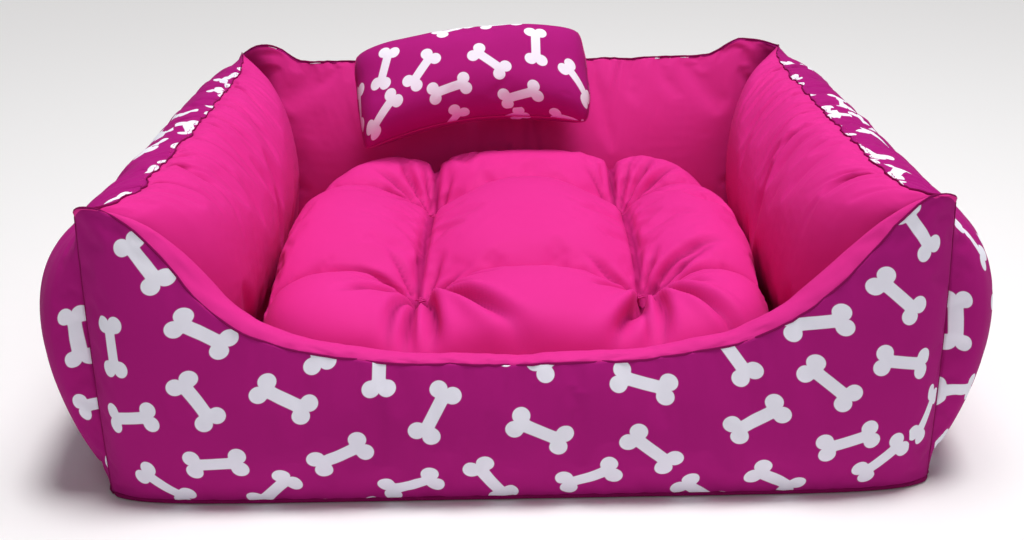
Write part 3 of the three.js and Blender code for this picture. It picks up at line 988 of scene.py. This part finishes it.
def rounded_slab(name, low, high, count):
    """A foam slab with soft edges and a slightly uneven cut."""
    low, high = np.array(low), np.array(high)
    s = np.sin(np.linspace(-1, 1, count) * math.pi / 2)
    u, v = np.meshgrid(s, s)
    edge = (np.abs(u) ** 10 + np.abs(v) ** 10) ** 0.1
    thick = (high[2] - low[2]) / 2 * np.sqrt(np.clip(1 - np.clip(edge, 0, 1) ** 30, 0, 1))
    middle = (low + high) / 2
    x = middle[0] + u * (high[0] - low[0]) / 2 * np.sqrt(1 - 0.04 * v ** 2)
    y = middle[1] + v * (high[1] - low[1]) / 2 * np.sqrt(1 - 0.04 * u ** 2)
    top, bottom = (np.stack([x, y, middle[2] + rise], -1) for rise in (thick, -thick))
    return closed_pad(name, top, bottom)


def closed_pad(name, top, bottom):
    """One closed mesh from two grids that share their rim."""
    rows, columns = top.shape[:2]
    number = np.arange(rows * columns).reshape(rows, columns)
    under = number + rows * columns
    rim = rim_mask(rows, columns)
    under[rim] = number[rim]
    used, index = np.unique(under[~rim], return_inverse=True)
    under[~rim] = rows * columns + index
    points = np.concatenate([top.reshape(-1, 3), bottom[~rim]])
    flat = np.concatenate([top[..., :2].reshape(-1, 2), bottom[~rim][:, :2] + [0.5, 0]])
    faces = [tuple(f) for f in grid_faces(rows, columns)]
    faces += [(under[i, j], under[i + 1, j], under[i + 1, j + 1], under[i, j + 1])
              for i in range(rows - 1) for j in range(columns - 1)]
    return new_object(name, points, faces, flat)


# ------------------------------------------------------------------ seat cushion

SEAT_ROWS = 109
SEAT_COLUMNS = 101
SEAT_CORNER = (0.14, 0.20)
SEAT_EXTRA = 0.4 * CM
SEAT_RIM_HEIGHT = 5.4 * CM
SEAT_CROWN = 7.0 * CM
SEAT_FLAT = 1.5 * CM
# the pleats each tuft pulls: (heading in degrees, length in centimetres, depth in millimetres)
TUFT_PLEATS = {
    "seat_tuft_front_left": [
        (165, 7, 5), (190, 8, 6), (214, 9, 6), (238, 10, 6), (-104, 15, 8), (-91, 16, 12), (-79, 17, 12),
        (-66, 18, 13), (-42, 8, 7), (-18, 8, 7), (24, 5, 4), (62, 5, 4), (124, 6, 4)],
    "seat_tuft_front_right": [
        (-98, 14, 6), (-88, 17, 14), (-76, 15, 9), (-66, 16, 12), (-38, 8, 7), (-8, 7, 5), (24, 9, 8),
        (44, 10, 8), (72, 6, 5), (150, 6, 4), (202, 8, 6), (236, 8, 8)],
    "seat_tuft_back_left": [
        (150, 8, 6), (172, 7, 5), (124, 8, 6), (100, 7, 5), (60, 5, 4), (-22, 5, 3), (-62, 6, 4),
        (-118, 7, 5), (-150, 7, 5)],
    "seat_tuft_back_right": [
        (30, 9, 7), (54, 9, 6), (76, 8, 5), (122, 6, 4), (4, 7, 5), (-24, 6, 4), (-52, 7, 5),
        (-120, 6, 4), (-160, 5, 3)],
}
TUFT_HEIGHT = 7.4 * CM
TUFT_HOLD = 0.75 * CM
SEAT_PIN = 2.2 * MM
SEAT_GROOVE = 2.6 * MM
PLEAT_LIMIT = 20 * MM
SEAT_INSET = 12 * MM
TUFTS = [f"seat_tuft_{end}_{side}" for end in ("front", "back") for side in ("left", "right")]


def tuft_places():
    boxes = [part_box(name) for name in TUFTS]
    return np.array([[(b[0][k] + b[1][k]) / 2 for k in range(2)] for b in boxes])


def tuft_lines():
    """The tufts, and where the valleys through them cross x and y."""
    tufts = tuft_places()
    xs, ys = (sorted(set(np.round(tufts[:, k], 4))) for k in range(2))
    return tufts, xs, ys


def seat_rim(u, v):
    """0 at the middle of the seat and 1 on its rim, which is a rounded square."""
    return np.clip((np.abs(u) ** 7 + np.abs(v) ** 7) ** (1 / 7), 0, 1)


def seat_plan():
    """Where the seat's cloth lies in plan, with (u, v) running over it from -1 to 1."""
    low, high = (np.array(c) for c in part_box("seat_cover_top"))
    middle, half = (low + high) / 2, (high - low) / 2
    u, v = np.meshgrid(crowded(SEAT_COLUMNS, 0.84), crowded(SEAT_ROWS, 0.84))
    corner = mix(SEAT_CORNER[0], SEAT_CORNER[1], smooth(v / 2 + 0.5))
    x = middle[0] + (half[0] + SEAT_EXTRA) * u * np.sqrt(1 - corner * v ** 2)
    y = middle[1] + half[1] * v * np.sqrt(1 - corner * u ** 2)
    return u, v, x, y


def crease(distance, width):
    """The cleft between two round puffs that touch: steep at its bottom, gone at `width`."""
    share = np.clip(1 - np.abs(distance) / width, 0, 1)
    return 1 - np.sqrt(1 - share ** 1.8)


def seat_rows(x, k):
    """How far back of its tufts the valley across the seat swings, as the puffs push it."""
    tufts = tuft_places()
    middle, half = tufts[:, 0].mean(), np.ptp(tufts[:, 0]) / 2
    share = np.abs(x - middle) / half
    between = np.clip(1 - share ** 2, 0, 1)
    outside = np.sin(math.pi * np.clip((share - 1) / 1.35, 0, 1))
    return (1.1 * between + 0.7 * outside) * CM + seat_bow(x, k)


def seat_top():
    """The quilted upper cover before it is stuffed: four tufts joined by valleys."""
    u, v, x, y = seat_plan()
    rim = seat_rim(u, v)
    dome = np.clip(1 - rim ** 9, 0, 1) ** 0.42
    z = SEAT_RIM_HEIGHT + SEAT_CROWN * dome
    z += 0.75 * CM * (v - 0.5 * u ** 2) * dome
    tufts, xs, ys = tuft_lines()
    deep = np.zeros_like(z)
    for k, line in enumerate(xs):
        bow = seat_bow(y, k)
        near = np.min([np.abs(y - ty) for ty in ys], axis=0)
        behind = smooth((y - max(ys) - 1 * CM) / (5 * CM))
        ahead = smooth((min(ys) - 3 * CM - y) / (9 * CM))
        beside = mix(mix(3.4, 2.2, behind), 2.4, ahead)
        depth = mix(beside, 5.0, np.exp(-(near / (3.0 * CM)) ** 2)) * CM
        deep = np.maximum(deep, depth * crease(x - line - bow, mix(9.3, 6.0, behind) * CM))
    for k, line in enumerate(ys):
        bow = seat_rows(x, k + 5)
        near = np.min([np.abs(x - tx) for tx in xs], axis=0)
        outside = smooth((np.abs(x - tufts[:, 0].mean()) - 9 * CM) / (6 * CM))
        depth = mix(mix(3.4, 2.9, outside), 5.0, np.exp(-(near / (3.4 * CM)) ** 2)) * CM
        deep = np.maximum(deep, depth * crease(y - line - bow, 9.5 * CM))
    z -= deep * smooth(dome * 1.3)
    for tx, ty in tufts:
        away = np.hypot(x - tx, (y - ty) * mix(0.8, 1, smooth((y - ty) / CM)))
        z = mix(z, np.minimum(z, TUFT_HEIGHT + 0.42 * away), np.exp(-((away / (5.4 * CM)) ** 2)))
        pit = np.exp(-((away / (1.3 * CM)) ** 1.3))
        z = mix(z, TUFT_HEIGHT, pit)
    return np.stack([x, y, z], -1)


def seat_pleats(points):
    """How deep the sewn valleys and the pleats round the tufts are pressed, in metres, and
    how much painted shade darkens their bottoms and the tuft pits, from 0 to 1."""
    x, y = points[..., 0], points[..., 1]
    tufts, xs, ys = tuft_lines()
    low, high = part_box("seat_cover_top")
    inside = np.min([x - low[0], high[0] - x, y - low[1], high[1] - y], axis=0)
    depth = np.zeros_like(x)
    shade = np.zeros_like(x)
    for k, line in enumerate(xs):
        away = x - line - seat_bow(y, k)
        fade = mix(0.2, 1, smooth((y - min(ys) + 4 * CM) / (3 * CM)))
        depth = np.maximum(depth, 6.0 * MM * fade * np.exp(-np.abs(away) / SEAT_GROOVE))
        shade = np.maximum(shade, 0.9 * fade * np.exp(-((away / (2.8 * MM)) ** 2)))
    for k, line in enumerate(ys):
        away = y - line - seat_rows(x, k + 5)
        near = np.min([np.abs(x - tx) for tx in xs], axis=0)
        strength = mix(1.0, 4.0, np.exp(-((near / (3.5 * CM)) ** 2))) * MM
        depth = np.maximum(depth, strength * np.exp(-np.abs(away) / SEAT_GROOVE))
        line_shade = mix(0.35, 0.9, np.exp(-near / (3.0 * CM)))
        shade = np.maximum(shade, line_shade * np.exp(-((away / (2.2 * MM)) ** 2)))
    draw = np.random.default_rng(77)
    for name, (tx, ty) in zip(TUFTS, tufts):
        reach = np.hypot(x - tx, y - ty)
        turn = np.arctan2(y - ty, x - tx)
        # painted shade in the pit round each tuft
        shade = np.maximum(shade, np.exp(-((reach / (0.7 * CM)) ** 2)))
        for degrees, length, deepest in TUFT_PLEATS[name]:
            heading = math.radians(degrees) + draw.normal(0, 1.2) * reach
            swing = (turn - heading + math.pi) % (2 * math.pi) - math.pi
            side = np.where(np.abs(swing) < 1.3, swing * reach, 1.0)
            window = smooth(reach / (0.7 * CM)) * smooth(1.7 - 1.7 * reach / (length * CM))
            width = 2.6 * MM + 0.032 * reach
            depth = depth + deepest * MM * valley(side, width) * window
            line_shade = 0.4 + 0.045 * deepest
            shade = np.maximum(shade, line_shade * window * np.exp(-((side / (0.5 * width)) ** 2)))
    edge = smooth(inside / (3 * CM))
    return np.minimum(depth, PLEAT_LIMIT) * edge, shade * edge


def seat_bow(place, k):
    """The sewn valleys wander a little instead of running dead straight."""
    return 0.22 * CM * np.sin(place * 17 + k * 2.1)


def seat_bottom(top):
    """The plain lower cover: down from the shared rim and flat where it rests."""
    u, v, x, y = seat_plan()
    rim = seat_rim(u, v)
    depth = np.clip(1 - rim ** 7, 0, 1) ** 0.5
    z = mix(top[..., 2], SEAT_FLAT, np.clip(depth * 1.12, 0, 1))
    return np.stack([x, y, z], -1)


def seat_piece():
    top = seat_top()
    rows, columns = top.shape[:2]
    ob = new_object("seat_cloth", top.reshape(-1, 3), grid_faces(rows, columns))
    pinned = np.zeros((rows, columns))
    tufts, xs, ys = tuft_lines()
    for k, line in enumerate(xs):
        pinned[np.abs(top[..., 0] - line - seat_bow(top[..., 1], k)) < SEAT_PIN] = 1
    for k, line in enumerate(ys):
        pinned[np.abs(top[..., 1] - line - seat_rows(top[..., 0], k + 5)) < SEAT_PIN] = 0.9
    pinned[rim_mask(rows, columns)] = 1
    for tx, ty in tufts:
        away = np.hypot(top[..., 0] - tx, top[..., 1] - ty)
        pinned[away < TUFT_HOLD] = 1
    add_cloth(ob, pinned.ravel(), 2.0, 0.025, 22, 12 * MM, bend=0.8)
    return ob, top


def finish_seat(ob, rest):
    rows, columns = rest.shape[:2]
    top = get_points(ob).reshape(rows, columns, 3)
    bpy.data.objects.remove(ob)
    # the wrinkles in front of the tufts are stroked flat before the pleats are pressed in
    ahead = smooth((tuft_places()[:, 1].min() - 1 * CM - rest[1:-1, 1:-1, 1]) / (4 * CM))[..., None]
    for _ in range(10):
        beside = (top[:-2, 1:-1] + top[2:, 1:-1] + top[1:-1, :-2] + top[1:-1, 2:]) / 4
        top[1:-1, 1:-1] = mix(top[1:-1, 1:-1], beside, 0.9 * ahead)
    bottom = seat_bottom(rest)
    flat = rest[..., :2].reshape(-1, 2)
    fine = refine(top)
    # the pleats' painted shade goes onto the cover as its per-point attribute
    pleats, shade = seat_pleats(fine)
    fine -= pleats[..., None] * grid_normals(fine)
    cover = new_object(
        "seat_top_cover", fine.reshape(-1, 3), grid_faces(*fine.shape[:2]),
        refine(rest)[..., :2].reshape(-1, 2), shade)
    thicken(cover, CLOTH_THICK, 0)
    finish_piece(cover, "seat_cushion", "plain_fabric", ["seat_cover_top"])
    facing_down = grid_faces(rows, columns)[:, ::-1]
    under = new_object("seat_bottom_cover", bottom.reshape(-1, 3), facing_down, flat)
    thicken(under, CLOTH_THICK, 0)
    finish_piece(under, "seat_cushion", "plain_fabric", ["seat_cover_bottom"])
    piping = tube("seat_edge_seam", rim_loop(top), 1.6 * MM, 8, closed=True)
    finish_piece(piping, "seat_cushion", "seam_fabric")
    # the stuffing keeps clear of the deepest pleat within a few rows and columns
    pressed = np.pad(seat_pleats(top)[0], 3, mode="edge")
    nearby = [pressed[j:j + rows, i:i + columns] for j in range(7) for i in range(7)]
    inset = SEAT_INSET + np.max(nearby, axis=0)
    body = stuffing("seat_stuffing", top[7:-7, 6:-6], bottom[7:-7, 6:-6], inset[7:-7, 6:-6, None])
    finish_piece(body, "seat_cushion", "fibre_fill", ["seat_fill"])
    for name, (tx, ty) in zip(TUFTS, tuft_places()):
        tuft_thread(name, tx, ty)


def tuft_thread(name, x, y):
    """Waxed thread pulled through the cushion, with a cross of stitches in the pit."""
    top = TUFT_HEIGHT + 0.6 * MM
    path = []
    for k in range(25):
        t = k / 24
        angle = t * 3 * math.pi
        across, along = x + 1.0 * MM * math.cos(angle), y + 1.0 * MM * math.sin(angle)
        path.append((across, along, mix(SEAT_FLAT, top, t)))
    knot = []
    for k in range(49):
        t = k / 48
        angle = 2 * math.pi * t
        reach = 4.2 * MM * math.cos(2 * angle)
        rise = top + 0.9 * MM + 0.5 * MM * math.sin(4 * angle)
        knot.append((x + reach * math.cos(angle), y + reach * math.sin(angle), rise))
    strand = np.array(path + knot)
    thread = tube(f"{name}_thread", strand, 0.7 * MM, 6)
    finish_piece(thread, "seat_cushion", "tuft_thread", [name])


# ------------------------------------------------------------------ pillow

PILLOW_ROWS = 43
PILLOW_COLUMNS = 69
PILLOW_HALF = (11.7 * CM, 4.95 * CM)
PILLOW_THICK = 3.4 * CM
PILLOW_LEAN = math.radians(50)
PILLOW_ROLL = math.radians(6)
PILLOW_ARCH = (2.0 * CM, 1.0 * CM)
PILLOW_LIFT = 1.4 * CM
PILLOW_PRINT = np.array([0, 0.28])


def pillow_sheet(side):
    """One cover of the pillow, flat-sewn: its corners stand out like ears."""
    u, v = np.meshgrid(crowded(PILLOW_COLUMNS, 0.8), crowded(PILLOW_ROWS, 0.8))
    ragged = 1 + 0.03 * (value_noise(u * 4 + 8, v * 3 + 8, 5) - 0.5)
    x = PILLOW_HALF[0] * u * (1 + 0.01 * (1 - v ** 2)) * (1 - 0.04 * v ** 8) * ragged
    x *= 1 - 0.05 * np.clip(-v, 0, 1) ** 3 * (u > 0)
    y = PILLOW_HALF[1] * v * (1 - 0.03 * (1 - u ** 2)) * (1 - 0.04 * u ** 8) * ragged
    swell = np.clip((1 - u ** 6) * (1 - v ** 4), 0, 1) ** 0.5
    return np.stack([x, y, side * PILLOW_THICK * swell], -1)


def pillow_piece():
    ob = closed_pad("pillow_cloth", pillow_sheet(1), pillow_sheet(-1))
    pinned = np.zeros(len(ob.data.vertices))
    add_cloth(ob, pinned, 2.6, 0.035, 24, 13 * MM, bend=0.5)
    return ob


def place_pillow(local):
    """Bends the stuffed pillow into its arch and leans it on the back wall."""
    local = local.copy()
    share = local[..., 0] / PILLOW_HALF[0]
    height = np.clip(local[..., 1] / PILLOW_HALF[1] / 2 + 0.5, 0, 1)
    local[..., 1] -= mix(PILLOW_ARCH[0], PILLOW_ARCH[1], height) * share ** 2 - PILLOW_LIFT
    local[..., 2] -= 0.5 * CM * share ** 2
    boxes = [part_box("pillow_cover_front"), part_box("pillow_cover_back")]
    low = np.min([b[0] for b in boxes], axis=0)
    high = np.max([b[1] for b in boxes], axis=0)
    turn = Matrix.Rotation(PILLOW_LEAN, 3, "X") @ Matrix.Rotation(PILLOW_ROLL, 3, "Z")
    return local @ np.array(turn).T + (low + high) / 2


def finish_pillow(ob):
    rows, columns = PILLOW_ROWS, PILLOW_COLUMNS
    points = get_points(ob)
    front = points[: rows * columns].reshape(rows, columns, 3)
    back = front.copy()
    back[1:-1, 1:-1] = points[rows * columns:].reshape(rows - 2, columns - 2, 3)
    bpy.data.objects.remove(ob)
    for name, part, faces in (
        ("front", front, grid_faces(rows, columns)),
        ("back", back, grid_faces(rows, columns)[:, ::-1]),
    ):
        flat = flat_map(part) + PILLOW_PRINT
        if name == "back":
            flat = flat * [-1, 1] + [0.31, 0]
        placed = place_pillow(part).reshape(-1, 3)
        cover = new_object(f"pillow_{name}_cover", placed, faces, flat.reshape(-1, 2))
        thicken(cover, 1.1 * MM)
        finish_piece(cover, "pillow", "print_fabric", [f"pillow_cover_{name}"])
    piping = tube("pillow_edge_seam", place_pillow(rim_loop(front)), 0.8 * MM, 8, closed=True)
    finish_piece(piping, "pillow", "tuft_thread")
    upper, lower = (place_pillow(part[2:-2:2, 2:-2:2]) for part in (front, back))
    body = stuffing("pillow_stuffing", upper, lower, 5 * MM)
    finish_piece(body, "pillow", "fibre_fill", ["pillow_fill"])


# ------------------------------------------------------------------ the bed

add_camera()
add_lights()
add_floor()
bpy.context.scene.view_settings.view_transform = "Standard"

wall_cloths = {name: wall_piece(name) for name in WALLS}
seat_cloth = seat_piece()
pillow_cloth = pillow_piece()
run_cloth()
wall_points = {name: split_wall(name, *wall_cloths[name]) for name in WALLS}
for wall_name, wall_cloth in wall_points.items():
    wall_seams(wall_name, wall_cloth)
    wall_filling(wall_name, wall_cloth)
corner_seam("back_left", "left", "back")
corner_seam("back_right", "back", "right")
corner_seam("front_left", "front", "left")
corner_seam("front_right", "right", "front")
add_base()
finish_seat(*seat_cloth)
finish_pillow(pillow_cloth)
